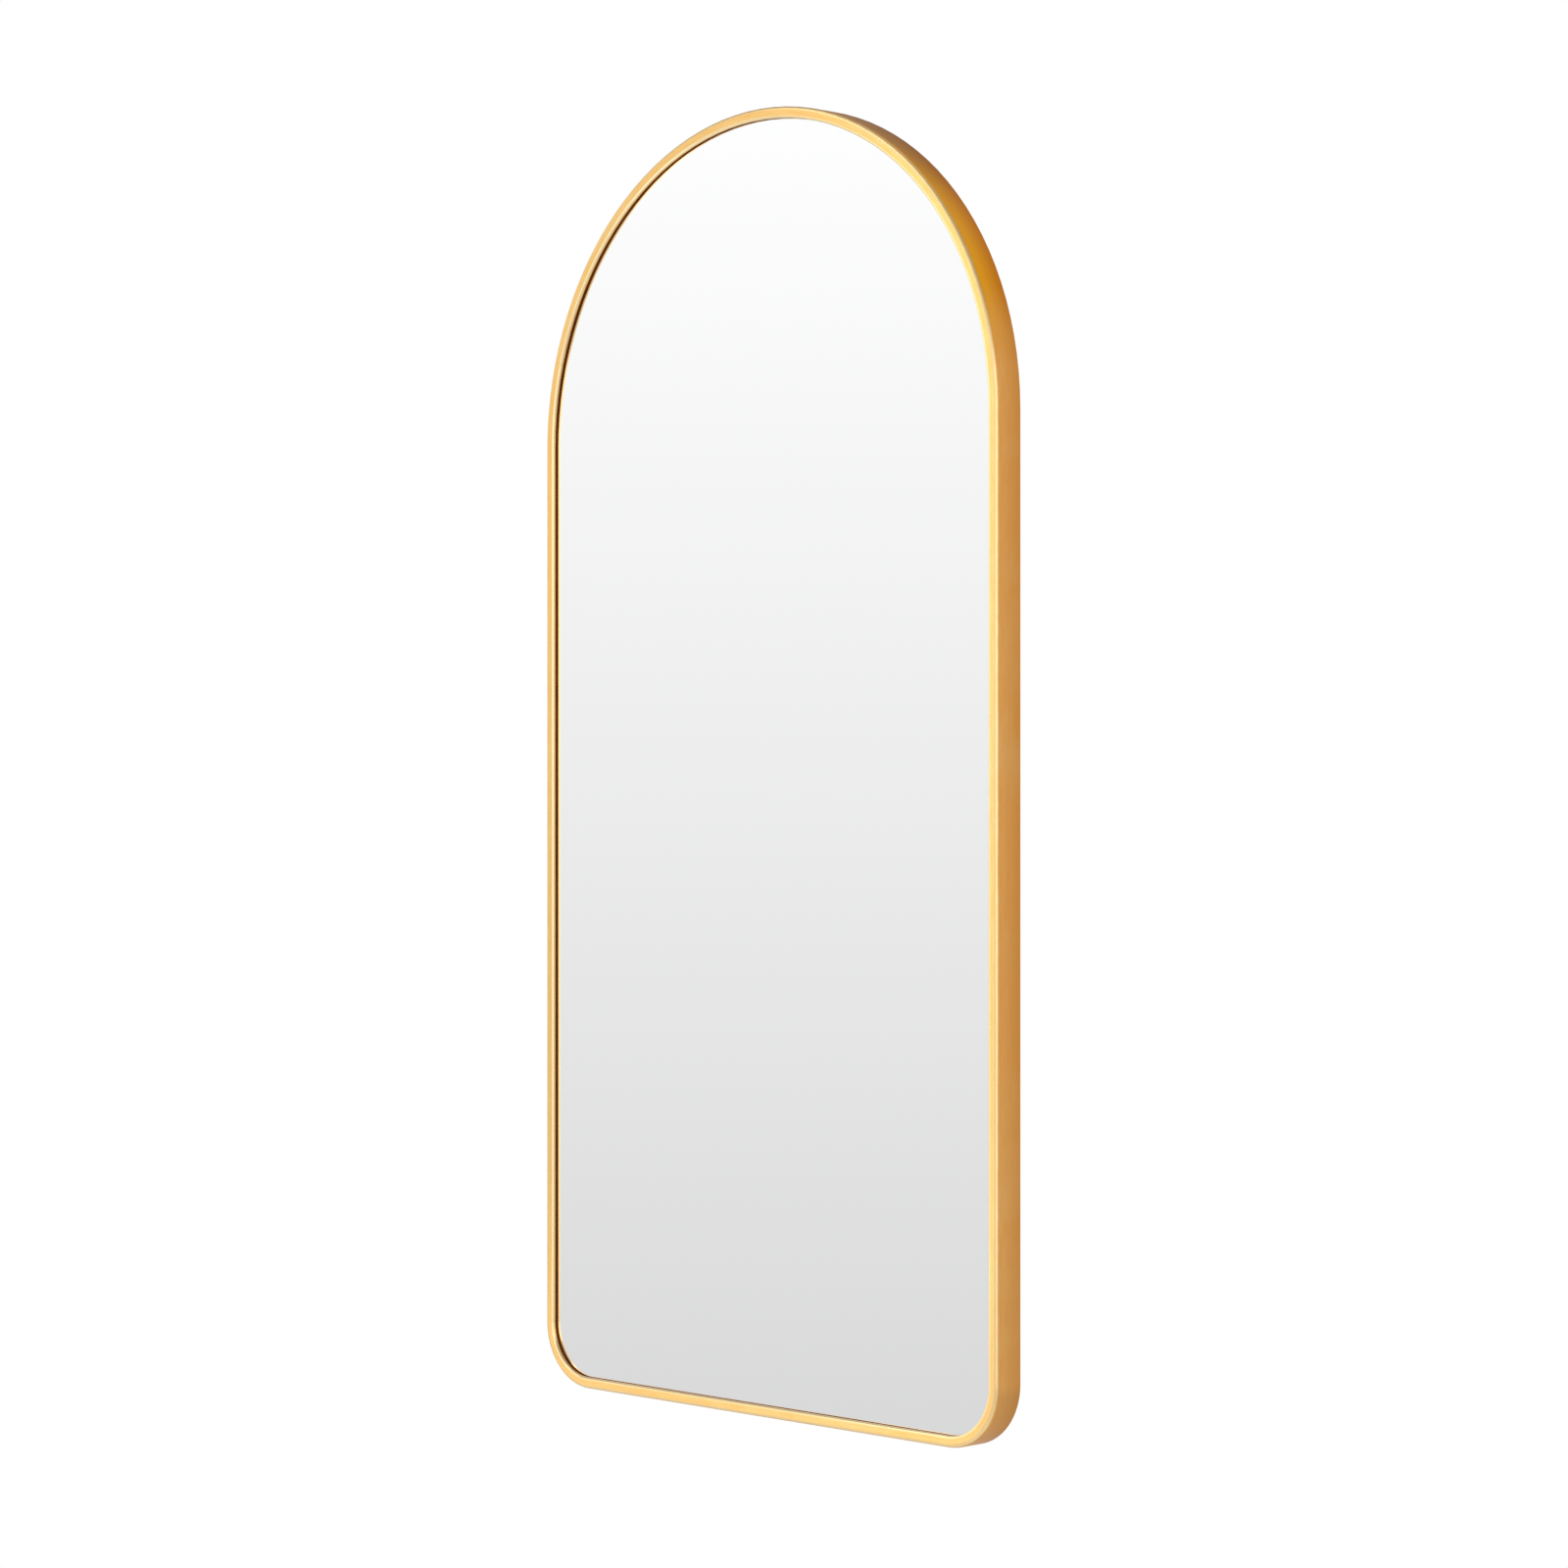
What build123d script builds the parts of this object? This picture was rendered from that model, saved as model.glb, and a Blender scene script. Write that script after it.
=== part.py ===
from build123d import *
import math
import os

# An arched wall mirror: a bent metal frame of one L-shaped section, a silvered pane bedded on
# tape behind its lip, and a backboard with two swinging D-ring hangers in the rear recess.
# Millimetres. X runs across, Z up, the front faces -Y. The origin lies under the middle of the
# bottom rail, at half the frame's depth.

# Overall size
WIDTH = 500.0
HEIGHT = 1020.0
LOWER_CORNER_RADIUS = 50.0

# Frame section: an outer wall, a front lip, and a rear channel with two hooks for the keys
LIP_WIDTH = 9.0
LIP_THICKNESS = 2.6
OUTER_ARRIS_RADIUS = 3.0
INNER_ARRIS_RADIUS = 1.2
REAR_ARRIS_RADIUS = 0.4
WALL = 1.5
ROOT_RADIUS = 0.6
CHANNEL_RIB = 1.0
CHANNEL_WIDTH = 4.6
REAR_LIP = 1.2
HOOK_THICKNESS = 1.0

# Height of the two butt seams between the arch length and the base length
SEAM_HEIGHT = 160.0

# The pack behind the lip, from front to back
TAPE_THICKNESS = 1.6
TAPE_WALL_GAP = 1.1
TAPE_SETBACK = 0.4
GLASS_THICKNESS = 4.0
CUSHION_THICKNESS = 1.0
BOARD_THICKNESS = 9.0
PANE_CLEARANCE = 0.8
CUSHION_MARGIN = 1.0

# Rubber blocks round the edge of the pane and the board
BLOCK_LENGTH = 30.0
BLOCK_SETBACK = 0.2
SETTING_BLOCK_FROM_CORNER = 70.0
HEAD_BLOCK_ANGLES = (60.0, 120.0)

# Splice keys and their grub screws
KEY_LENGTH = 80.0
KEY_THICKNESS = 2.0
KEY_CLEARANCE = 0.1
KEY_SLACK = 0.2
KEY_CHAMFER = 0.6
GRUB_RADIUS = 1.5
GRUB_LENGTH = 3.0
GRUB_SOCKET_RADIUS = 0.75
GRUB_SOCKET_DEPTH = 1.2
GRUB_SPACING = 18.0
GRUB_END_MARGIN = 10.0
GRUB_SLOT_CLEARANCE = 0.1

# Retaining plates and their screws
PLATE_WIDTH = 16.0
PLATE_THICKNESS = 1.0
PLATE_TIP_GAP = 0.7
PLATE_ON_BOARD = 20.0
PLATE_CORNER_RADIUS = 3.0
PLATE_SCREW_MARGIN = 5.0
PLATE_SCREW_PITCH = 8.0
PLATE_SCREW_RADIUS = 1.5
PLATE_HEAD_RADIUS = 2.8
PLATE_HEAD_HEIGHT = 1.6
SIDE_PLATE_COUNT = 3
SIDE_PLATE_ABOVE_SEAM = 70.0
SIDE_PLATE_BELOW_HEAD = 140.0
HEAD_PLATE_ANGLES = (30.0, 90.0, 150.0)
BASE_PLATE_FROM_CORNER = 110.0

# Hanger straps, D-rings and their screws
HANGER_FROM_SIDE = 65.0
HANGER_BELOW_HEAD = 25.0
STRAP_WIDTH = 16.0
STRAP_THICKNESS = 1.0
STRAP_END_MARGIN = 9.0
STRAP_END_RADIUS = 7.0
STRAP_HOLE_CLEARANCE = 0.2
BARREL_CLEARANCE = 0.05
BARREL_LIFT = 0.35
RING_WIRE_RADIUS = 1.5
RING_SIDE_CLEARANCE = 1.5
RING_BEND_RADIUS = 2.8
RING_LEG = 4.0
RING_TO_SCREW = 4.2
HANGER_SCREW_PITCH = 16.0
HANGER_SCREW_RADIUS = 1.75
HANGER_HEAD_RADIUS = 3.5
HANGER_HEAD_HEIGHT = 2.2

# Wood screws: how far the point stays short of the front of the board, then the crown as a
# share of the head's height, the cross recess as shares of its radius, and the point's taper
SCREW_TIP_MARGIN = 2.0
CROWN_SHARE = 0.6
CROSS_LENGTH_SHARE = 1.1
CROSS_WIDTH_SHARE = 0.22
POINT_TAPER_SHARE = 0.7

# Places that follow from the sizes above. Depths are counted from the front of the frame.
HEAD_RADIUS = WIDTH / 2
SPRING_HEIGHT = HEIGHT - HEAD_RADIUS
RAIL_END = WIDTH / 2 - LOWER_CORNER_RADIUS
GLASS_FRONT = LIP_THICKNESS + TAPE_THICKNESS
CUSHION_FRONT = GLASS_FRONT + GLASS_THICKNESS
BOARD_FRONT = CUSHION_FRONT + CUSHION_THICKNESS
BOARD_REAR = BOARD_FRONT + BOARD_THICKNESS
PLATE_REAR = BOARD_REAR + PLATE_THICKNESS
RIB_REAR = PLATE_REAR + CHANNEL_RIB
CHANNEL_MIDDLE = RIB_REAR + CHANNEL_WIDTH / 2
REAR_LIP_FRONT = RIB_REAR + CHANNEL_WIDTH
DEPTH = REAR_LIP_FRONT + REAR_LIP
HOOK_INSET = WALL + KEY_SLACK + KEY_THICKNESS
CHANNEL_REACH = HOOK_INSET + HOOK_THICKNESS
HOOK_DROP = CHANNEL_WIDTH / 2 - GRUB_RADIUS - GRUB_SLOT_CLEARANCE
PANE_INSET = CHANNEL_REACH + PANE_CLEARANCE
HANGER_X = WIDTH / 2 - HANGER_FROM_SIDE
HANGER_HEIGHT = SPRING_HEIGHT - HANGER_BELOW_HEAD
BARREL_BORE = RING_WIRE_RADIUS + BARREL_CLEARANCE
BARREL_DEPTH = BOARD_REAR + BARREL_LIFT + STRAP_THICKNESS + BARREL_BORE
RING_HALF_WIDTH = STRAP_WIDTH / 2 + RING_SIDE_CLEARANCE + RING_WIRE_RADIUS
RING_REACH = RING_BEND_RADIUS + RING_LEG + RING_HALF_WIDTH + RING_WIRE_RADIUS
UPPER_SCREW_DROP = RING_REACH + RING_TO_SCREW + HANGER_HEAD_RADIUS
LOWER_SCREW_DROP = UPPER_SCREW_DROP + HANGER_SCREW_PITCH
STRAP_LENGTH = LOWER_SCREW_DROP + STRAP_END_MARGIN


def depth_to_y(depth):
    """Y of a point at this depth behind the front of the frame."""
    return depth - DEPTH / 2


def block_section(inset_from, inset_to, depth_from, depth_to):
    """A rectangle of the frame's section plane, set in from the outer face of the right side."""
    centre_x = WIDTH / 2 - (inset_from + inset_to) / 2
    centre_y = depth_to_y((depth_from + depth_to) / 2)
    return Pos(centre_x, centre_y) * Rectangle(inset_to - inset_from, depth_to - depth_from)


def round_corner(section, inset, depth, radius):
    """The section with the corner nearest to this inset and depth rounded."""
    place = (WIDTH / 2 - inset, depth_to_y(depth), 0)
    return fillet(section.vertices().sort_by_distance(place)[0], radius)


def frame_section():
    """The section of the frame on its right side, looking down."""
    wall = block_section(0, WALL, 0, DEPTH)
    lip = block_section(0, LIP_WIDTH, 0, LIP_THICKNESS)
    rib = block_section(0, CHANNEL_REACH, PLATE_REAR, RIB_REAR)
    rib_hook = block_section(HOOK_INSET, CHANNEL_REACH, PLATE_REAR, RIB_REAR + HOOK_DROP)
    rear_lip = block_section(0, CHANNEL_REACH, REAR_LIP_FRONT, DEPTH)
    rear_hook = block_section(HOOK_INSET, CHANNEL_REACH, REAR_LIP_FRONT - HOOK_DROP, DEPTH)
    section = wall + lip + rib + rib_hook + rear_lip + rear_hook
    section = round_corner(section, 0, 0, OUTER_ARRIS_RADIUS)
    section = round_corner(section, LIP_WIDTH, 0, INNER_ARRIS_RADIUS)
    section = round_corner(section, 0, DEPTH, REAR_ARRIS_RADIUS)
    return round_corner(section, WALL, LIP_THICKNESS, ROOT_RADIUS)


def both_sides(right):
    """A piece of the right side together with its twin on the left."""
    return right + mirror(right, Plane.YZ)


def side_runs(section, low, high):
    """The section carried straight up both sides."""
    return both_sides(Pos(0, 0, low) * extrude(section, high - low, dir=(0, 0, 1)))


def head_bend(section, start=0.0, turn=180.0):
    """The section turned about the middle of the round head, counted from the right side."""
    placed = Pos(0, 0, SPRING_HEIGHT) * section
    middle = Axis((0, 0, SPRING_HEIGHT), (0, -1, 0))
    return revolve(placed, middle, turn).rotate(middle, start)


def lower_bends(section):
    """The section turned a quarter turn at both lower corners."""
    corner = Axis((RAIL_END, 0, LOWER_CORNER_RADIUS), (0, 1, 0))
    return both_sides(revolve(Pos(0, 0, LOWER_CORNER_RADIUS) * section, corner, 90))


def base_run(section, low_x, high_x):
    """The section laid along the bottom rail between two places across the width."""
    upright = extrude(section, high_x - low_x, dir=(0, 0, 1))
    laid = upright.rotate(Axis((WIDTH / 2, 0, 0), (0, 1, 0)), 90)
    return Pos(low_x - WIDTH / 2, 0, 0) * laid


def closed_ring(section):
    """The section carried all the way round the mirror."""
    ring = side_runs(section, LOWER_CORNER_RADIUS, SPRING_HEIGHT) + head_bend(section)
    ring += lower_bends(section)
    return ring + base_run(section, -RAIL_END, RAIL_END)


def evenly(low, high, count):
    """Places spread evenly from the low one to the high one."""
    step = (high - low) / (count - 1)
    return [low + step * index for index in range(count)]


def arch_outline(inset):
    """The outline of the mirror, seen from the front, set in all round from the outer face."""
    half = WIDTH / 2 - inset
    corner = LOWER_CORNER_RADIUS - inset
    straight = SPRING_HEIGHT - LOWER_CORNER_RADIUS
    outline = Pos(0, SPRING_HEIGHT) * Circle(half)
    outline += Pos(0, LOWER_CORNER_RADIUS + straight / 2) * Rectangle(2 * half, straight)
    outline += Pos(0, LOWER_CORNER_RADIUS - corner / 2) * Rectangle(2 * RAIL_END, corner)
    for x in (-RAIL_END, RAIL_END):
        outline += Pos(x, LOWER_CORNER_RADIUS) * Circle(corner)
    return outline


def arched_sheet(inset, depth_from, depth_to):
    """A flat sheet of the mirror's outline between two depths."""
    plane = Plane.XZ.offset(-depth_to_y(depth_from))
    return extrude(plane * arch_outline(inset), depth_from - depth_to)


def rearward(shape, x, z, depth):
    """A shape modelled along +Z, stood on the back of the mirror and pointing to the rear."""
    return Pos(x, depth_to_y(depth), z) * Rot(-90, 0, 0) * shape


def pan_screw(shank_radius, shank_length, head_radius, head_height):
    """A pan-head screw with a cross recess. Its head stands on the plane z = 0."""
    crown = head_height * CROWN_SHARE
    head = extrude(Circle(head_radius), head_height)
    head = fillet(head.edges().group_by(Axis.Z)[-1], crown)
    arm = head_radius * CROSS_LENGTH_SHARE
    blade = head_radius * CROSS_WIDTH_SHARE
    cross = Rectangle(arm, blade) + Rectangle(blade, arm)
    recess = extrude(Pos(0, 0, head_height - crown) * cross, head_height)
    point = chamfer(
        extrude(Circle(shank_radius), -shank_length).edges().group_by(Axis.Z)[0],
        shank_radius * POINT_TAPER_SHARE,
    )
    return head + point - recess


def make_frame_lengths():
    """The arch length and the base length, which butt at the seams."""
    section = frame_section()
    arch = side_runs(section, SEAM_HEIGHT, SPRING_HEIGHT) + head_bend(section)
    base = side_runs(section, LOWER_CORNER_RADIUS, SEAM_HEIGHT) + lower_bends(section)
    base += base_run(section, -RAIL_END, RAIL_END)
    return arch, base


def make_glazing_tape():
    """A closed ring of foam tape on the rear of the lip, a little behind its edge."""
    outer = WALL + TAPE_WALL_GAP
    inner = LIP_WIDTH - TAPE_SETBACK
    return closed_ring(block_section(outer, inner, LIP_THICKNESS, GLASS_FRONT))


def make_blocks():
    """The setting blocks under the pane, and the edge blocks at its sides and head."""
    section = block_section(WALL, PANE_INSET, GLASS_FRONT, BOARD_REAR - BLOCK_SETBACK)
    half = BLOCK_LENGTH / 2
    setting = []
    setting_x = RAIL_END - SETTING_BLOCK_FROM_CORNER
    for x in (-setting_x, setting_x):
        setting.append(base_run(section, x - half, x + half))
    edge = []
    plate_heights = side_plate_heights()
    for below, above in zip(plate_heights, plate_heights[1:]):
        z = (below + above) / 2
        edge.extend(side_runs(section, z - half, z + half).solids())
    block_turn = math.degrees(BLOCK_LENGTH / (HEAD_RADIUS - WALL))
    for angle in HEAD_BLOCK_ANGLES:
        edge.append(head_bend(section, angle - block_turn / 2, block_turn))
    return setting, edge


def make_splices():
    """Two steel keys held against the channel's hooks, and the grub screws that press them."""
    key_front = RIB_REAR + KEY_CLEARANCE
    key_rear = REAR_LIP_FRONT - KEY_CLEARANCE
    section = block_section(HOOK_INSET - KEY_THICKNESS, HOOK_INSET, key_front, key_rear)
    key_foot = SEAM_HEIGHT - KEY_LENGTH / 2
    right = Pos(0, 0, key_foot) * extrude(section, KEY_LENGTH, dir=(0, 0, 1))
    right = chamfer(right.edges().filter_by(Axis.Y), KEY_CHAMFER)
    inward = Rot(0, -90, 0)
    grub = extrude(Circle(GRUB_RADIUS), GRUB_LENGTH)
    socket_floor = Pos(0, 0, GRUB_LENGTH - GRUB_SOCKET_DEPTH)
    socket = extrude(
        socket_floor * RegularPolygon(GRUB_SOCKET_RADIUS, 6, major_radius=False), GRUB_LENGTH
    )
    outer = KEY_LENGTH / 2 - GRUB_END_MARGIN
    inner = outer - GRUB_SPACING
    screws = []
    for offset in (-outer, -inner, inner, outer):
        seat = Pos(WIDTH / 2 - WALL, depth_to_y(CHANNEL_MIDDLE), SEAM_HEIGHT + offset) * inward
        right -= seat * grub
        screws.append(seat * (grub - socket))
    left = mirror(right, Plane.YZ)
    screws += [mirror(screw, Plane.YZ) for screw in screws]
    return left, right, screws


def side_plate_heights():
    """Heights of the retaining plates on each side."""
    low = SEAM_HEIGHT + SIDE_PLATE_ABOVE_SEAM
    return evenly(low, SPRING_HEIGHT - SIDE_PLATE_BELOW_HEAD, SIDE_PLATE_COUNT)


def plate_places():
    """Where each retaining plate crosses the frame: x, z and the outward angle from +X."""
    places = []
    for z in side_plate_heights():
        places.append((WIDTH / 2, z, 0.0))
        places.append((-WIDTH / 2, z, 180.0))
    base_x = RAIL_END - BASE_PLATE_FROM_CORNER
    for x in (-base_x, base_x):
        places.append((x, 0.0, -90.0))
    for angle in HEAD_PLATE_ANGLES:
        on_head = Vector(HEAD_RADIUS, 0).rotate(Axis.Z, angle)
        places.append((on_head.X, SPRING_HEIGHT + on_head.Y, angle))
    return places


def make_retaining_plates():
    """Plates whose tips lie under the frame's rib, their screws, and the holes for the screws."""
    tip = WALL + PLATE_TIP_GAP
    end = PANE_INSET + PLATE_ON_BOARD
    inner_hole = end - PLATE_SCREW_MARGIN
    holes = (inner_hole, inner_hole - PLATE_SCREW_PITCH)
    outline = RectangleRounded(end - tip, PLATE_WIDTH, PLATE_CORNER_RADIUS)
    outline = Pos(-(tip + end) / 2, 0) * outline
    for inset in holes:
        outline -= Pos(-inset, 0) * Circle(PLATE_SCREW_RADIUS)
    plate = extrude(outline, PLATE_THICKNESS)
    screw_length = PLATE_THICKNESS + BOARD_THICKNESS - SCREW_TIP_MARGIN
    screw = pan_screw(PLATE_SCREW_RADIUS, screw_length, PLATE_HEAD_RADIUS, PLATE_HEAD_HEIGHT)
    pilot = extrude(Circle(PLATE_SCREW_RADIUS), -screw_length)
    plates = []
    screws = []
    pilots = []
    for x, z, angle in plate_places():
        turn = Rot(0, 0, -angle)
        plates.append(rearward(turn * plate, x, z, BOARD_REAR))
        for inset in holes:
            seat = turn * Pos(-inset, 0, 0)
            screws.append(rearward(seat * screw, x, z, PLATE_REAR))
            pilots.append(rearward(seat * pilot, x, z, PLATE_REAR))
    return plates, screws, pilots


def make_strap(x):
    """A strap folded round the D-ring's bar, flat on the board below it."""
    barrel_centre = BARREL_DEPTH - BOARD_REAR
    ramp_foot = -2 * barrel_centre
    ramp_top = -barrel_centre / 2
    lifted = BARREL_LIFT + STRAP_THICKNESS
    side = Polyline(
        (-STRAP_LENGTH, 0),
        (ramp_foot, 0),
        (ramp_top, BARREL_LIFT),
        (0, BARREL_LIFT),
        (0, lifted),
        (ramp_top, lifted),
        (ramp_foot, STRAP_THICKNESS),
        (-STRAP_LENGTH, STRAP_THICKNESS),
        close=True,
    )
    sheet = make_face(side) + Pos(0, barrel_centre) * Circle(BARREL_BORE + STRAP_THICKNESS)
    sheet -= Pos(0, barrel_centre) * Circle(BARREL_BORE)
    foot = (x, depth_to_y(BOARD_REAR), HANGER_HEIGHT)
    side_plane = Plane(origin=foot, x_dir=(0, 0, 1), z_dir=(-1, 0, 0))
    strap = extrude(side_plane * sheet, STRAP_WIDTH / 2, both=True)
    strap = fillet(strap.edges().filter_by(Axis.Y).group_by(Axis.Z)[0], STRAP_END_RADIUS)
    hole = extrude(Circle(HANGER_SCREW_RADIUS + STRAP_HOLE_CLEARANCE), STRAP_THICKNESS)
    for drop in (UPPER_SCREW_DROP, LOWER_SCREW_DROP):
        strap -= rearward(hole, x, HANGER_HEIGHT - drop, BOARD_REAR)
    return strap


def make_ring(x):
    """A D-ring of round wire. Its straight bar runs in the strap's barrel, and it hangs down."""
    half = RING_HALF_WIDTH
    bend = RING_BEND_RADIUS
    straight = half - bend
    leg_end = -(bend + RING_LEG)
    bar = Line((-straight, 0), (straight, 0))
    right_bend = RadiusArc((straight, 0), (half, -bend), bend)
    right_leg = Line((half, -bend), (half, leg_end))
    bow = ThreePointArc((half, leg_end), (0, leg_end - half), (-half, leg_end))
    left_leg = Line((-half, leg_end), (-half, -bend))
    left_bend = RadiusArc((-half, -bend), (-straight, 0), bend)
    centre_line = Wire([bar, right_bend, right_leg, bow, left_leg, left_bend])
    ring = sweep(Plane.YZ * Circle(RING_WIRE_RADIUS), path=centre_line)
    return Pos(x, depth_to_y(BARREL_DEPTH), HANGER_HEIGHT) * Rot(90, 0, 0) * ring


def make_hangers():
    """Both straps and rings, their four screws, and the holes for the screws."""
    straps = [make_strap(-HANGER_X), make_strap(HANGER_X)]
    rings = [make_ring(-HANGER_X), make_ring(HANGER_X)]
    screw_length = STRAP_THICKNESS + BOARD_THICKNESS - SCREW_TIP_MARGIN
    screw = pan_screw(HANGER_SCREW_RADIUS, screw_length, HANGER_HEAD_RADIUS, HANGER_HEAD_HEIGHT)
    pilot = extrude(Circle(HANGER_SCREW_RADIUS), -screw_length)
    strap_face = BOARD_REAR + STRAP_THICKNESS
    screws = []
    pilots = []
    for x in (-HANGER_X, HANGER_X):
        for drop in (UPPER_SCREW_DROP, LOWER_SCREW_DROP):
            screws.append(rearward(screw, x, HANGER_HEIGHT - drop, strap_face))
            pilots.append(rearward(pilot, x, HANGER_HEIGHT - drop, strap_face))
    return straps, rings, screws, pilots


def main():
    os.makedirs("parts", exist_ok=True)
    arch, base = make_frame_lengths()
    setting_blocks, edge_blocks = make_blocks()
    key_left, key_right, grub_screws = make_splices()
    plates, plate_screws, plate_pilots = make_retaining_plates()
    straps, rings, hanger_screws, hanger_pilots = make_hangers()
    backboard = arched_sheet(PANE_INSET, BOARD_FRONT, BOARD_REAR)
    backboard -= plate_pilots + hanger_pilots
    nodes = {
        "frame_arch": arch,
        "frame_base": base,
        "glazing_tape": make_glazing_tape(),
        "mirror_glass": arched_sheet(PANE_INSET, GLASS_FRONT, CUSHION_FRONT),
        "cushion_sheet": arched_sheet(PANE_INSET + CUSHION_MARGIN, CUSHION_FRONT, BOARD_FRONT),
        "backboard": backboard,
        "setting_blocks": Compound(setting_blocks),
        "edge_blocks": Compound(edge_blocks),
        "splice_key_left": key_left,
        "splice_key_right": key_right,
        "splice_screws": Compound(grub_screws),
        "retaining_plates": Compound(plates),
        "plate_screws": Compound(plate_screws),
        "hanger_strap_left": straps[0],
        "hanger_strap_right": straps[1],
        "d_ring_left": rings[0],
        "d_ring_right": rings[1],
        "hanger_screws": Compound(hanger_screws),
    }
    for name, shape in nodes.items():
        export_step(shape, f"parts/{name}.step")


main()
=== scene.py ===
import math
import bpy
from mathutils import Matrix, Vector


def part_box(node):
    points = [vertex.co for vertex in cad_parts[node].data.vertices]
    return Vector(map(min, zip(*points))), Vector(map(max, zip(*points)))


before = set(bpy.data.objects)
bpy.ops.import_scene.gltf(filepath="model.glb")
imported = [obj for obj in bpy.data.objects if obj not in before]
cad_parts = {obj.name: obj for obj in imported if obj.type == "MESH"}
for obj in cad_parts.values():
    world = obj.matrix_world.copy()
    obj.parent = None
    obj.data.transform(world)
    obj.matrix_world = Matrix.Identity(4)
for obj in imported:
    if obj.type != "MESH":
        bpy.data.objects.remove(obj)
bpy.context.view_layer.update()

# Places on the frame, in metres. Those of the section and the corners repeat the part's own sizes.
ARCH_LOW, ARCH_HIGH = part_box("frame_arch")
HEAD_RADIUS = ARCH_HIGH.x
SPRING_HEIGHT = ARCH_HIGH.z - HEAD_RADIUS
SEAM_HEIGHT = ARCH_LOW.z
FRONT = ARCH_LOW.y
LOWER_CORNER_RADIUS = 0.05
RAIL_END = HEAD_RADIUS - LOWER_CORNER_RADIUS
OUTER_ARRIS = 0.003
LIP_WIDTH = 0.009
SMALLEST_REACH = 0.001
BASE_RUN_START = 7.0  # keeps the grain of the base apart from the arch's

# The photograph's camera
IMAGE_PIXELS = 1600
FOCAL_PIXELS = 3970.3
SENSOR_WIDTH = 36.0
CAMERA_PLACE = (2.1624, -2.1396, 0.4933)
CAMERA_AZIMUTH = 45.099
LEVEL_TILT = 90.0

# The studio's levels: 1 is white
WHITE = (1.0, 1.0, 1.0, 1.0)
CAMERA_LEVEL = 1.0
AMBIENT = 0.75
FRONT_LEVEL = 0.85
FRONT_RISE = 0.92
LOW_LEVEL = 0.7
CEILING_LEVEL = 0.45
CEILING_START, CEILING_FULL = 0.25, 0.55
REAR_LEVEL = 0.66
REAR_START, REAR_FULL = -0.3, 0.5
SHADED_LEVEL = 0.25
SHADED_DIRECTION = (-0.52, 0.70, 0.48)
SHADED_START, SHADED_FULL = 0.80, 0.98

# The floor
FLOOR_HEIGHT = -0.9
FLOOR_RADIUS = 3.5
FLOOR_STEPS = 96
FLOOR_DARK = (0.86, 0.86, 0.86, 1.0)
FLOOR_LIGHT = (0.90, 0.90, 0.90, 1.0)
FLOOR_GLOW = 0.25
FLOOR_NEAR = 0.8
# Painted light and shade of the floor's glow in reflections: bright near the mirror, dimmer far
# off, darker behind
FLOOR_NEAR_LEVEL, FLOOR_FAR_LEVEL, FLOOR_REAR_LEVEL = 1.0, 0.8, 0.64
FLOOR_REAR_START, FLOOR_REAR_FULL = -0.3, 0.4

# The lamps: name, place, width, height, brightness and the point they face
MIRROR_MIDDLE = (0.0, 0.0, 0.5)
LAMPS = (
    ("key", (-1.6, -2.4, 3.2), 2.4, 1.6, 1.1, MIRROR_MIDDLE),
    ("front_box", (2.6, -2.9, 0.6), 2.0, 2.4, 0.8, MIRROR_MIDDLE),
    ("near_strip", (-0.42, -0.8, 0.6), 0.3, 1.3, 0.9, (0.25, 0.0, 0.6)),
    ("low_box", (-1.2, -1.2, -0.35), 1.0, 0.5, 0.6, (-0.1, 0.0, 0.0)),
    ("back", (0.0, 3.4, 0.7), 2.0, 2.0, 0.8, MIRROR_MIDDLE),
)

# Brushed gold with painted light and shade: a painted highlight pales the flat front face and the
# arrises, and painted shade deepens the outer wall, more toward its rear and where the bar is bent
# to the head
FACE_GOLD = (0.98, 0.64, 0.245, 1.0)
FACE_GOLD_DEEP = (0.90, 0.52, 0.15, 1.0)
WALL_GOLD = (0.99, 0.50, 0.14, 1.0)
WALL_GOLD_DEEP = (0.91, 0.41, 0.09, 1.0)
REAR_SHADE_GOLD = (0.79, 0.335, 0.062, 1.0)
BEND_SHADE_GOLD = (1.0, 0.43, 0.006, 1.0)
BEND_SHADE_REAR_GOLD = (0.70, 0.215, 0.002, 1.0)
# The pale gold of random clouds and of painted highlight patches on the outer arris, then the
# painted highlight gold of the inner arris and the outer rounding
CLOUD_AND_GLINT_GOLD = (1.0, 0.74, 0.36, 1.0)
ARRIS_HIGHLIGHT_GOLD = (1.0, 0.79, 0.44, 1.0)
STREAK_SHRINK = 0.006  # the rail's length as the long streaks see it, and below as the specks do
SPECK_SHRINK = 0.12
BRUSHING = 0.6
ACROSS_THE_TANGENT = 0.25

# The other finishes
GLASS_CLEAR = (0.985, 0.99, 0.988, 1.0)
GLASS_RIM = (0.90, 0.94, 0.92, 1.0)
GLASS_RIM_WIDTH = 0.002
# The tape's dark foam colours, tinted orange-brown by a painted reflection of the gold lip
TAPE_BOUNCE_DARK, TAPE_BOUNCE_LIGHT = (0.10, 0.022, 0.002, 1.0), (0.17, 0.045, 0.004, 1.0)
TAPE_SPECULAR = 0.15
CUSHION_DARK, CUSHION_LIGHT = (0.72, 0.72, 0.69, 1.0), (0.82, 0.82, 0.80, 1.0)
RUBBER_DARK, RUBBER_BLOOM = (0.018, 0.018, 0.019, 1.0), (0.05, 0.05, 0.05, 1.0)
BOARD_DARK, BOARD_LIGHT = (0.010, 0.010, 0.011, 1.0), (0.028, 0.027, 0.026, 1.0)
BOARD_RUBBED = (0.05, 0.048, 0.045, 1.0)
BOARD_FIBRE_DRAW = (1.0, 1.0, 0.35)
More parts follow.
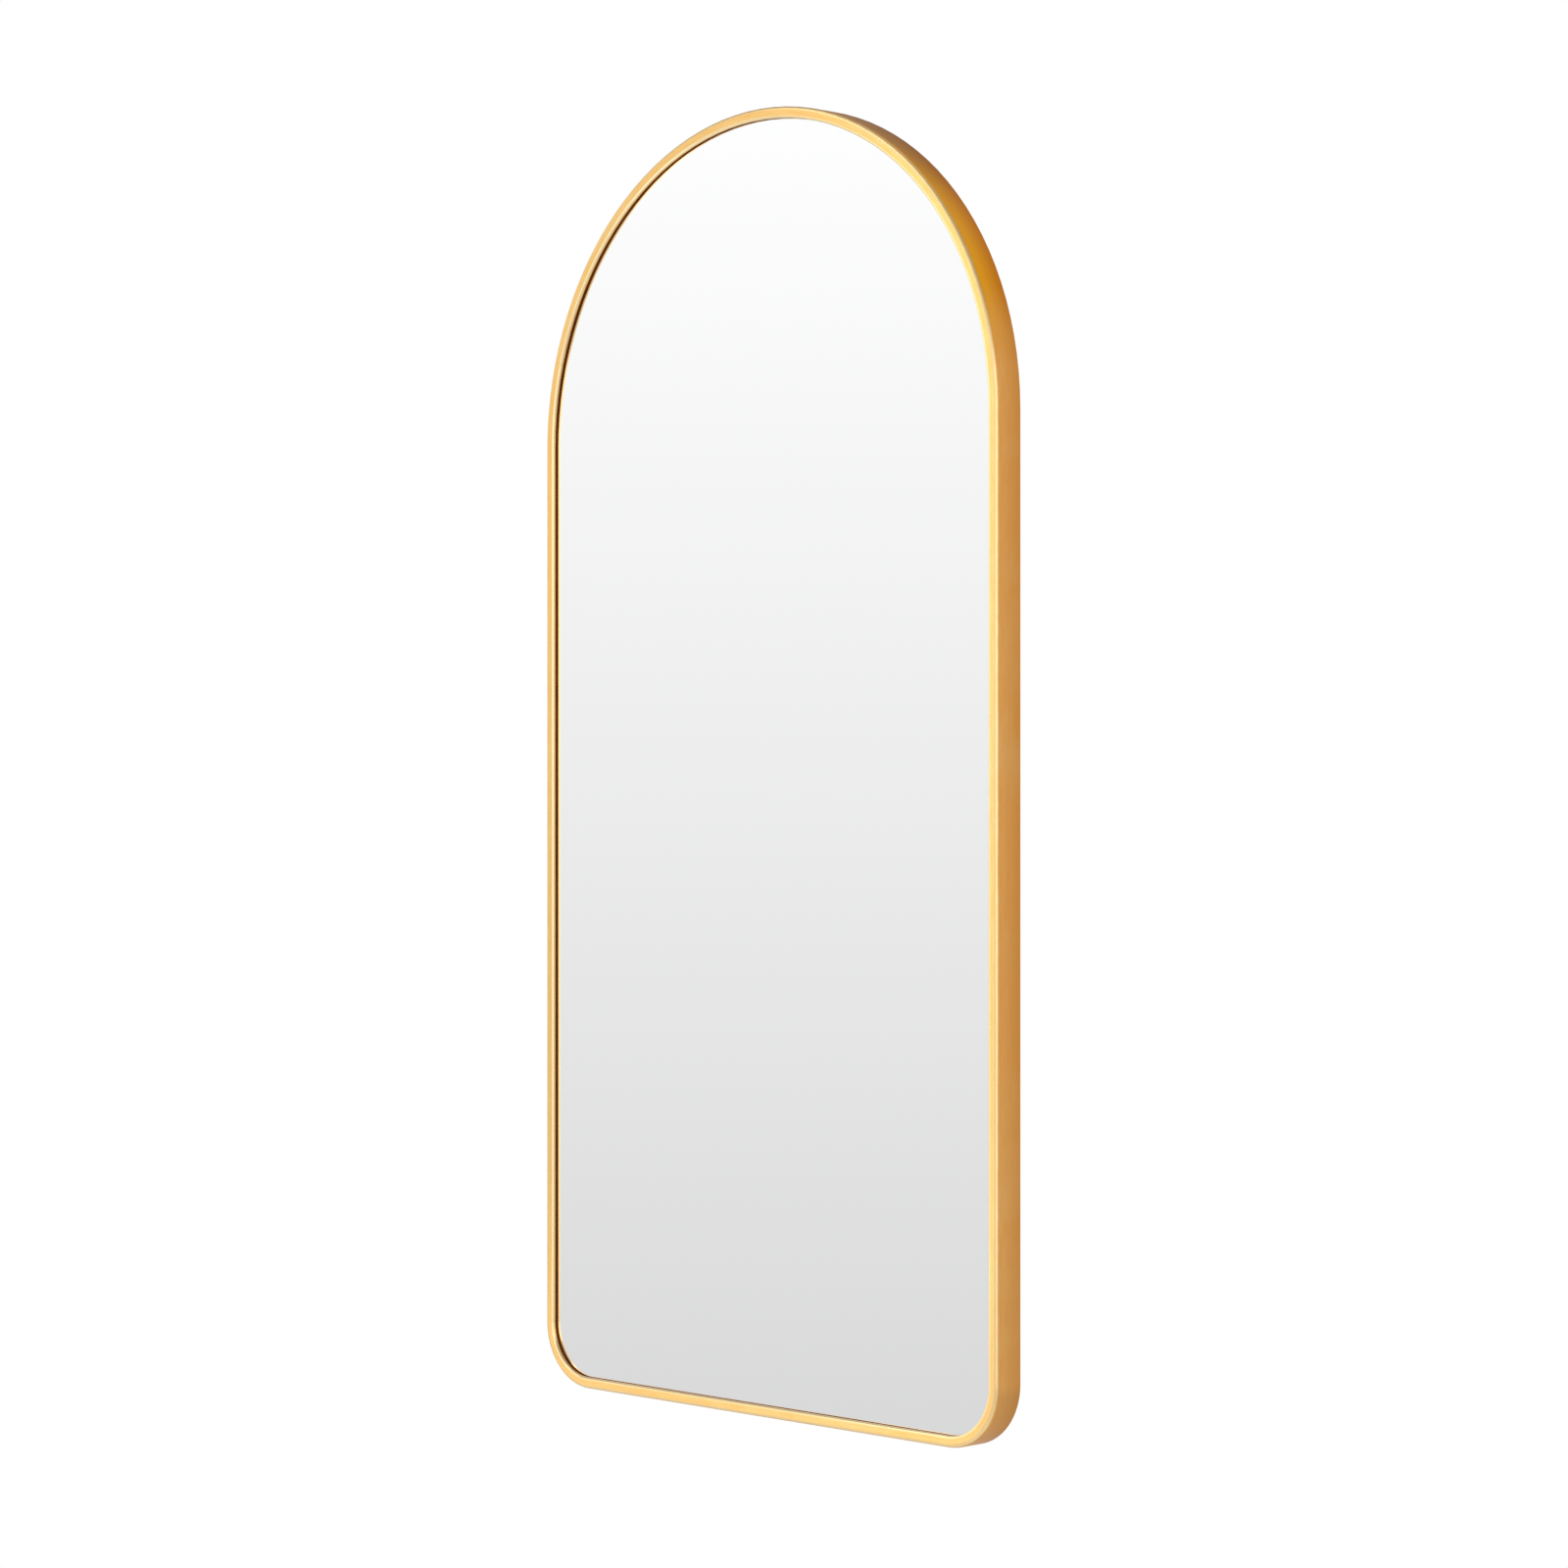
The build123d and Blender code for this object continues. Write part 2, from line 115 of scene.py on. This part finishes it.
ZINC_DARK, ZINC_LIGHT = (0.50, 0.52, 0.55, 1.0), (0.66, 0.67, 0.66, 1.0)
SCREW_DARK, SCREW_LIGHT = (0.42, 0.43, 0.45, 1.0), (0.60, 0.60, 0.58, 1.0)
NICKEL_DARK, NICKEL_LIGHT = (0.56, 0.54, 0.50, 1.0), (0.68, 0.66, 0.62, 1.0)


def add(tree, kind, inputs=None, **settings):
    """A shader node with its settings, and its inputs either linked or set."""
    node = tree.nodes.new("ShaderNode" + kind)
    for name, value in settings.items():
        setattr(node, name, value)
    for name, value in (inputs or {}).items():
        if isinstance(value, bpy.types.NodeSocket):
            tree.links.new(value, node.inputs[name])
        else:
            node.inputs[name].default_value = value
    return node


def calc(tree, operation, *values):
    """The result of one math step."""
    return add(tree, "Math", dict(enumerate(values)), operation=operation).outputs[0]


def spread(tree, value, low, high, out_low=0.0, out_high=1.0):
    """A value carried from one range to another, and held at its ends."""
    inputs = {"Value": value, "From Min": low, "From Max": high}
    inputs.update({"To Min": out_low, "To Max": out_high})
    return add(tree, "MapRange", inputs).outputs["Result"]


def ease(tree, value, low, high):
    """0 below the range and 1 above it, with a smooth step between."""
    inputs = {"Value": value, "From Min": low, "From Max": high}
    return add(tree, "MapRange", inputs, interpolation_type="SMOOTHSTEP").outputs["Result"]


def choose(tree, factor, first, second):
    """The first number where the factor is 0, and the second where it is 1."""
    return add(tree, "Mix", {0: factor, 2: first, 3: second}, data_type="FLOAT").outputs[0]


def blend_colours(tree, factor, first, second):
    """The first colour where the factor is 0, and the second where it is 1."""
    return add(tree, "Mix", {0: factor, 6: first, 7: second}, data_type="RGBA").outputs[2]


def noise(tree, place, scale, detail=3.0, roughness=0.5):
    """Soft noise between about 0.3 and 0.7."""
    inputs = {"Vector": place, "Scale": scale, "Detail": detail, "Roughness": roughness}
    return add(tree, "TexNoise", inputs).outputs["Fac"]


def drawn(tree, place, scale):
    """The place with each axis scaled, so that a noise on it is drawn out."""
    return add(tree, "Mapping", {"Vector": place, "Scale": scale}).outputs[0]


def axis(tree, vector, name):
    """One axis of a vector."""
    return add(tree, "SeparateXYZ", {0: vector}).outputs[name]


def ray_kinds(tree):
    """1 for camera rays, and 1 for rays that metal or glass sends on."""
    rays = add(tree, "LightPath").outputs
    sent_on = calc(tree, "MAXIMUM", rays["Is Glossy Ray"], rays["Is Transmission Ray"])
    return rays["Is Camera Ray"], sent_on


def new_surface(name, metallic):
    """A material with its principled shader, and the place on the object in metres."""
    material = bpy.data.materials.new(name)
    material.use_nodes = True
    tree = material.node_tree
    shader = tree.nodes["Principled BSDF"]
    shader.inputs["Metallic"].default_value = metallic
    place = add(tree, "TexCoord").outputs["Object"]
    return material, tree, shader, place


def dress(tree, shader, colour, roughness, height, relief):
    """Links colour and roughness to the shader, and a bump of this relief in metres."""
    tree.links.new(colour, shader.inputs["Base Color"])
    tree.links.new(roughness, shader.inputs["Roughness"])
    bump = add(tree, "Bump", {"Height": height, "Distance": relief, "Strength": 1.0})
    tree.links.new(bump.outputs["Normal"], shader.inputs["Normal"])


def rail_group():
    """A node group that follows the frame: how far a point lies in from the outer face, how far
    behind the front and how far along the rail, and the direction of the rail there."""
    group = bpy.data.node_groups.new("rail_place", "ShaderNodeTree")
    sockets = group.interface
    sockets.new_socket("Place", in_out="INPUT", socket_type="NodeSocketVector")
    for name in ("Inset", "Depth", "Along"):
        sockets.new_socket(name, in_out="OUTPUT", socket_type="NodeSocketFloat")
    sockets.new_socket("Direction", in_out="OUTPUT", socket_type="NodeSocketVector")
    entry = group.nodes.new("NodeGroupInput").outputs["Place"]
    split = add(group, "SeparateXYZ", {0: entry}).outputs
    x, y, z = split["X"], split["Y"], split["Z"]
    side = calc(group, "SIGN", x)
    width = calc(group, "ABSOLUTE", x)
    rise = calc(group, "MAXIMUM", calc(group, "SUBTRACT", z, SPRING_HEIGHT), 0.0)
    fall = calc(group, "MAXIMUM", calc(group, "SUBTRACT", LOWER_CORNER_RADIUS, z), 0.0)
    past_rail = calc(group, "MAXIMUM", calc(group, "SUBTRACT", width, RAIL_END), 0.0)
    low = calc(group, "GREATER_THAN", fall, 0.0)

    # From the middle line or the corner's centre out to the point
    out_x = choose(group, low, width, past_rail)
    out_z = choose(group, low, rise, calc(group, "MULTIPLY", fall, -1.0))
    radius = choose(group, low, HEAD_RADIUS, LOWER_CORNER_RADIUS)
    x_square, z_square = (calc(group, "MULTIPLY", value, value) for value in (out_x, out_z))
    reach = calc(group, "SQRT", calc(group, "ADD", x_square, z_square))
    reach = calc(group, "MAXIMUM", reach, SMALLEST_REACH)
    inset = calc(group, "SUBTRACT", radius, reach)
    depth = calc(group, "SUBTRACT", y, FRONT)

    # Along the arch from the head's middle, and along the base from its own middle
    head_angle = calc(group, "ARCTAN2", rise, x)
    head_run = calc(group, "MULTIPLY", head_angle, HEAD_RADIUS)
    below_head = calc(group, "MINIMUM", calc(group, "SUBTRACT", z, SPRING_HEIGHT), 0.0)
    along_arch = calc(group, "ADD", head_run, calc(group, "MULTIPLY", side, below_head))
    corner_angle = calc(group, "ARCTAN2", past_rail, fall)
    corner_run = calc(group, "MULTIPLY", corner_angle, LOWER_CORNER_RADIUS)
    above_corner = calc(group, "SUBTRACT", z, LOWER_CORNER_RADIUS)
    above_corner = calc(group, "MAXIMUM", above_corner, 0.0)
    flat_run = calc(group, "MINIMUM", width, RAIL_END)
    half_base = calc(group, "ADD", flat_run, calc(group, "ADD", corner_run, above_corner))
    base_run = calc(group, "MULTIPLY", side, half_base)
    along_base = calc(group, "ADD", base_run, BASE_RUN_START)
    on_arch = calc(group, "GREATER_THAN", z, SEAM_HEIGHT)
    along = choose(group, on_arch, along_base, along_arch)

    signed_x = calc(group, "MULTIPLY", side, out_x)
    across = calc(group, "MULTIPLY", signed_x, -1.0)
    direction = add(group, "CombineXYZ", {0: out_z, 1: 0.0, 2: across}).outputs[0]
    direction = add(group, "VectorMath", {0: direction}, operation="NORMALIZE").outputs[0]
    exit_node = group.nodes.new("NodeGroupOutput")
    results = {"Inset": inset, "Depth": depth, "Along": along, "Direction": direction}
    for name, value in results.items():
        group.links.new(value, exit_node.inputs[name])
    return group


def rail_place(tree, place):
    """The sockets of the rail group in this material."""
    node = tree.nodes.new("ShaderNodeGroup")
    node.node_tree = RAIL_GROUP
    tree.links.new(place, node.inputs["Place"])
    return node.outputs


def along_rail(tree, rail, shrink):
    """The place in the rail's own terms, with its length shrunk so that a noise runs along it."""
    run = calc(tree, "MULTIPLY", rail["Along"], shrink)
    return add(tree, "CombineXYZ", {0: rail["Inset"], 1: rail["Depth"], 2: run}).outputs[0]


def brush_marks(tree, rail):
    """The grain of the brush along the rail, and the tone that it and its specks give."""
    streak = along_rail(tree, rail, STREAK_SHRINK)
    coarse = noise(tree, streak, scale=900.0, detail=2.0)
    fine = noise(tree, streak, scale=3800.0, roughness=0.6)
    speck = noise(tree, along_rail(tree, rail, SPECK_SHRINK), scale=420.0, roughness=0.6)
    grain = choose(tree, 0.6, coarse, fine)
    tone = choose(tree, 0.4, grain, speck)
    return grain, spread(tree, tone, 0.38, 0.60)


def wall_colour(tree, place, rail, tone):
    """The gold of the wall, deeper with painted shade toward the rear and in the bend, and how far
    a point belongs to the painted bend shade."""
    wall = blend_colours(tree, tone, WALL_GOLD_DEEP, WALL_GOLD)
    outside = spread(tree, rail["Inset"], 0.0008, 0.002, 1.0, 0.0)
    # Painted shade: the outer wall darkens toward its rear
    rear_shade = spread(tree, rail["Depth"], 0.006, 0.0255)
    rear_shade = calc(tree, "MULTIPLY", rear_shade, outside)
    wall = blend_colours(tree, rear_shade, wall, REAR_SHADE_GOLD)
    bend_shade_wall = blend_colours(tree, rear_shade, BEND_SHADE_GOLD, BEND_SHADE_REAR_GOLD)

    # The height in the head, from 0 at its spring to 1 at its top
    height = calc(tree, "SUBTRACT", axis(tree, place, "Z"), SPRING_HEIGHT)
    height = calc(tree, "DIVIDE", height, HEAD_RADIUS)
    # Painted shade on the outer wall where the bar is bent to the head
    bend_start = spread(tree, height, 0.12, 0.38)
    bend_end = spread(tree, height, 0.72, 0.95, 1.0, 0.0)
    bend_shade = calc(tree, "MULTIPLY", calc(tree, "MULTIPLY", bend_start, bend_end), outside)
    return blend_colours(tree, bend_shade, wall, bend_shade_wall), bend_shade


def brushed_gold():
    """Gold anodised metal, brushed along the rail, paler with painted highlight on its face and on
    its arrises.
    """
    material, tree, shader, place = new_surface("brushed_gold", metallic=1.0)
    rail = rail_place(tree, place)
    grain, tone = brush_marks(tree, rail)
    face = blend_colours(tree, tone, FACE_GOLD_DEEP, FACE_GOLD)
    wall, bend_shade = wall_colour(tree, place, rail, tone)
    # Painted light and shade: the face's paler gold is painted highlight, the wall's deeper gold
    # painted shade
    on_wall = spread(tree, rail["Depth"], 0.0009, 0.0022)
    colour = blend_colours(tree, on_wall, face, wall)

    # Paler clouds, outside the painted bend shade
    cloud = noise(tree, place, scale=14.0)
    worn = spread(tree, cloud, 0.45, 0.75, 0.0, 0.2)
    worn = calc(tree, "MULTIPLY", worn, calc(tree, "SUBTRACT", 1.0, bend_shade))
    colour = blend_colours(tree, worn, colour, CLOUD_AND_GLINT_GOLD)

    # Painted highlight: pale patches along the outer arris, the inner arris pale all along, and
    # the rounding pale
    outer = calc(tree, "ADD", rail["Inset"], rail["Depth"])
    inner = calc(tree, "ADD", calc(tree, "SUBTRACT", LIP_WIDTH, rail["Inset"]), rail["Depth"])
    rub = noise(tree, place, scale=110.0, detail=2.0)
    patches = spread(tree, rub, 0.44, 0.62, 0.0, 0.45)
    outer_glints = spread(tree, outer, OUTER_ARRIS * 0.5, OUTER_ARRIS * 0.8, 1.0, 0.0)
    outer_glints = calc(tree, "MULTIPLY", outer_glints, patches)
    inner_highlight = spread(tree, inner, 0.0008, 0.0024, 1.0, 0.0)
    colour = blend_colours(tree, outer_glints, colour, CLOUD_AND_GLINT_GOLD)
    colour = blend_colours(tree, inner_highlight, colour, ARRIS_HIGHLIGHT_GOLD)
    front_part = spread(tree, rail["Depth"], 0.0007, 0.0014, 1.0, 0.0)
    rounding_highlight = spread(tree, rail["Inset"], 0.0018, OUTER_ARRIS, 0.75, 0.0)
    rounding_highlight = calc(tree, "MULTIPLY", rounding_highlight, front_part)
    colour = blend_colours(tree, rounding_highlight, colour, ARRIS_HIGHLIGHT_GOLD)

    # The arrises with painted highlight are smoother too
    highlighted_arris = calc(tree, "MAXIMUM", outer_glints, inner_highlight)
    roughness = spread(tree, grain, 0.3, 0.7, 0.27, 0.38)
    roughness = calc(tree, "SUBTRACT", roughness, calc(tree, "MULTIPLY", highlighted_arris, 0.1))
    shader.inputs["Anisotropic"].default_value = BRUSHING
    shader.inputs["Anisotropic Rotation"].default_value = ACROSS_THE_TANGENT
    tree.links.new(rail["Direction"], shader.inputs["Tangent"])
    dress(tree, shader, colour, roughness, grain, relief=0.00001)
    return material


def silvered_glass():
    """The silvered pane: a clean mirror with faint smears and a slightly greener, duller rim."""
    material, tree, shader, place = new_surface("silvered_glass", metallic=1.0)
    rail = rail_place(tree, place)
    smear = noise(tree, place, scale=9.0, detail=4.0, roughness=0.6)
    rim = spread(tree, rail["Inset"], LIP_WIDTH, LIP_WIDTH + GLASS_RIM_WIDTH, 0.5, 0.0)
    colour = blend_colours(tree, rim, GLASS_CLEAR, GLASS_RIM)
    roughness = spread(tree, smear, 0.4, 0.75, 0.0, 0.018)
    dress(tree, shader, colour, roughness, smear, relief=0.0000002)
    return material


def foam(name, dark, light, cell, relief):
    """Closed-cell foam: a cellular relief and a slightly uneven colour."""
    material, tree, shader, place = new_surface(name, metallic=0.0)
    cells = add(tree, "TexVoronoi", {"Vector": place, "Scale": 1.0 / cell}).outputs["Distance"]
    cloud = noise(tree, place, scale=60.0, detail=4.0)
    colour = blend_colours(tree, spread(tree, cloud, 0.3, 0.7), dark, light)
    roughness = spread(tree, cells, 0.0, 0.8, 0.95, 0.75)
    dress(tree, shader, colour, roughness, cells, relief)
    return material


def glazing_foam():
    """The tape's dark foam, with a weak gloss and a painted orange-brown reflection of the gold
    lip.
    """
    material = foam("tape_foam", TAPE_BOUNCE_DARK, TAPE_BOUNCE_LIGHT, cell=0.0004, relief=0.00003)
    shader = material.node_tree.nodes["Principled BSDF"]
    shader.inputs["Specular IOR Level"].default_value = TAPE_SPECULAR
    return material


def moulded_rubber():
    """Dark rubber with a fine moulded grain and a little bloom."""
    material, tree, shader, place = new_surface("moulded_rubber", metallic=0.0)
    grain = noise(tree, place, scale=2500.0, detail=2.0)
    bloom = noise(tree, place, scale=120.0, detail=4.0)
    colour = blend_colours(tree, spread(tree, bloom, 0.4, 0.75), RUBBER_DARK, RUBBER_BLOOM)
    roughness = spread(tree, grain, 0.3, 0.7, 0.6, 0.85)
    dress(tree, shader, colour, roughness, grain, relief=0.00004)
    return material


def black_board():
    """Fibreboard with a matt black facing: short fibres, a faint mottle and rubbed patches."""
    material, tree, shader, place = new_surface("black_board", metallic=0.0)
    laid = drawn(tree, place, BOARD_FIBRE_DRAW)
    fibres = noise(tree, laid, scale=900.0, detail=5.0, roughness=0.65)
    mottle = noise(tree, place, scale=22.0, detail=5.0, roughness=0.6)
    colour = blend_colours(tree, spread(tree, fibres, 0.35, 0.7), BOARD_DARK, BOARD_LIGHT)
    rubbed = spread(tree, mottle, 0.5, 0.72, 0.0, 0.28)
    colour = blend_colours(tree, rubbed, colour, BOARD_RUBBED)
    roughness = spread(tree, fibres, 0.3, 0.7, 0.78, 0.62)
    roughness = calc(tree, "SUBTRACT", roughness, calc(tree, "MULTIPLY", rubbed, 0.2))
    dress(tree, shader, colour, roughness, fibres, relief=0.00012)
    return material


def plated(name, dark, light, scratch, smooth, rough):
    """Plated steel: cloudy tone, fine scratches drawn by the axis scales, an uneven polish."""
    material, tree, shader, place = new_surface(name, metallic=1.0)
    cloud = noise(tree, place, scale=160.0, detail=4.0, roughness=0.6)
    scratches = noise(tree, drawn(tree, place, scratch), scale=1.0, roughness=0.6)
    colour = blend_colours(tree, spread(tree, cloud, 0.35, 0.7), dark, light)
    polish = choose(tree, 0.5, cloud, scratches)
    roughness = spread(tree, polish, 0.35, 0.65, smooth, rough)
    dress(tree, shader, colour, roughness, scratches, relief=0.00001)
    return material


def give(material, *nodes):
    """Puts the material on every slot of these CAD nodes."""
    for name in nodes:
        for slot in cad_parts[name].material_slots:
            slot.material = material


def dress_nodes():
    """Gives each CAD node its material."""
    cushion = foam("cushion_foam", CUSHION_DARK, CUSHION_LIGHT, cell=0.0009, relief=0.00008)
    zinc = plated("zinc_plate", ZINC_DARK, ZINC_LIGHT, (300.0, 4000.0, 4000.0), 0.26, 0.44)
    screw = plated("screw_zinc", SCREW_DARK, SCREW_LIGHT, (2500.0, 2500.0, 2500.0), 0.22, 0.42)
    nickel = plated("nickel_wire", NICKEL_DARK, NICKEL_LIGHT, (400.0, 3000.0, 3000.0), 0.14, 0.30)
    give(brushed_gold(), "frame_arch", "frame_base")
    give(silvered_glass(), "mirror_glass")
    give(glazing_foam(), "glazing_tape")
    give(cushion, "cushion_sheet")
    give(moulded_rubber(), "setting_blocks", "edge_blocks")
    give(black_board(), "backboard")
    give(zinc, "retaining_plates", "hanger_strap_left", "hanger_strap_right")
    give(zinc, "splice_key_left", "splice_key_right")
    give(screw, "plate_screws", "hanger_screws", "splice_screws")
    give(nickel, "d_ring_left", "d_ring_right")


def set_camera():
    """The camera of the photograph: level, at 45 degrees to the mirror."""
    data = bpy.data.cameras.new("camera")
    data.sensor_width = SENSOR_WIDTH
    data.lens = SENSOR_WIDTH * FOCAL_PIXELS / IMAGE_PIXELS
    camera = bpy.data.objects.new("camera", data)
    camera.location = CAMERA_PLACE
    camera.rotation_euler = (math.radians(LEVEL_TILT), 0.0, math.radians(CAMERA_AZIMUTH))
    bpy.context.collection.objects.link(camera)
    bpy.context.scene.camera = camera


def background_world():
    """White to the camera, a soft studio in reflections, and plain white ambient light."""
    world = bpy.data.worlds.new("studio")
    world.use_nodes = True
    tree = world.node_tree
    tree.nodes.clear()
    direction = add(tree, "TexCoord").outputs["Generated"]
    upward = axis(tree, direction, "Z")
    sweep = calc(tree, "MULTIPLY_ADD", upward, FRONT_RISE, FRONT_LEVEL)
    sweep = calc(tree, "MINIMUM", calc(tree, "MAXIMUM", sweep, LOW_LEVEL), 1.0)
    high = ease(tree, upward, CEILING_START, CEILING_FULL)
    front = choose(tree, high, sweep, CEILING_LEVEL)

    # Behind the mirror: an even level with a soft shaded cone
    cone_axis = Vector(SHADED_DIRECTION).normalized()
    inputs = {0: direction, 1: cone_axis}
    toward = add(tree, "VectorMath", inputs, operation="DOT_PRODUCT").outputs["Value"]
    shaded = ease(tree, toward, SHADED_START, SHADED_FULL)
    rear = choose(tree, shaded, REAR_LEVEL, SHADED_LEVEL)

    to_rear = ease(tree, axis(tree, direction, "Y"), REAR_START, REAR_FULL)
    reflected = choose(tree, to_rear, front, rear)
    seen, sent_on = ray_kinds(tree)
    level = choose(tree, sent_on, AMBIENT, reflected)
    level = choose(tree, seen, level, CAMERA_LEVEL)
    background = add(tree, "Background", {"Color": WHITE, "Strength": level})
    output = add(tree, "OutputWorld")
    tree.links.new(background.outputs[0], output.inputs["Surface"])
    bpy.context.scene.world = world


def lamp(name, place, width, height, brightness, aim, receivers):
    """A soft box that faces a point. Its brightness is that of its face: 1 looks white."""
    data = bpy.data.lights.new(name, "AREA")
    data.shape = "RECTANGLE"
    data.size = width
    data.size_y = height
    data.energy = brightness * math.pi * width * height
    light = bpy.data.objects.new(name, data)
    light.location = place
    light.rotation_euler = (Vector(aim) - Vector(place)).to_track_quat("-Z", "Y").to_euler()
    light.visible_camera = False
    light.light_linking.receiver_collection = receivers
    bpy.context.collection.objects.link(light)


def light_object():
    """The lamps light everything but the pane, so no lamp's outline shows in the mirror."""
    receivers = bpy.data.collections.new("lamp_receivers")
    receivers.objects.link(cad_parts["mirror_glass"])
    receivers.collection_objects[0].light_linking.link_state = "EXCLUDE"
    for settings in LAMPS:
        lamp(*settings, receivers)


def floor_surface():
    """A pale floor: close to white to the camera, plain to the lamps, and in reflections a glow
    with painted light near the mirror's front and painted shade behind it."""
    material, tree, shader, place = new_surface("pale_floor", metallic=0.0)
    grain = noise(tree, place, scale=40.0, detail=4.0)
    colour = blend_colours(tree, grain, FLOOR_DARK, FLOOR_LIGHT)
    roughness = spread(tree, grain, 0.3, 0.7, 0.85, 0.95)
    dress(tree, shader, colour, roughness, grain, relief=0.0001)
    seen, sent_on = ray_kinds(tree)
    shader.inputs["Emission Color"].default_value = WHITE
    glow = calc(tree, "MULTIPLY", seen, FLOOR_GLOW)
    tree.links.new(glow, shader.inputs["Emission Strength"])

    # In reflections the floor glows: painted light near the mirror's front, fading with distance,
    # and painted shade behind it
    away = add(tree, "VectorMath", {0: place}, operation="LENGTH").outputs["Value"]
    front = spread(tree, away, FLOOR_NEAR, FLOOR_RADIUS, FLOOR_NEAR_LEVEL, FLOOR_FAR_LEVEL)
    behind = spread(tree, axis(tree, place, "Y"), FLOOR_REAR_START, FLOOR_REAR_FULL)
    level = choose(tree, behind, front, FLOOR_REAR_LEVEL)
    reflected = add(tree, "Emission", {"Color": colour, "Strength": level})
    inputs = {0: sent_on, 1: shader.outputs[0], 2: reflected.outputs[0]}
    mixed = add(tree, "MixShader", inputs)
    tree.links.new(mixed.outputs[0], tree.nodes["Material Output"].inputs["Surface"])
    return material


def lay_floor():
    """A plain pale floor below the hanging mirror. It keeps the mirror's shadow."""
    data = bpy.data.meshes.new("floor")
    turn = [2 * math.pi * index / FLOOR_STEPS for index in range(FLOOR_STEPS)]
    rim = [(FLOOR_RADIUS * math.cos(t), FLOOR_RADIUS * math.sin(t), FLOOR_HEIGHT) for t in turn]
    data.from_pydata(rim, [], [tuple(range(FLOOR_STEPS))])
    data.materials.append(floor_surface())
    floor = bpy.data.objects.new("floor", data)
    bpy.context.collection.objects.link(floor)


RAIL_GROUP = rail_group()
dress_nodes()
set_camera()
background_world()
light_object()
lay_floor()

bpy.context.scene.view_settings.view_transform = "Standard"
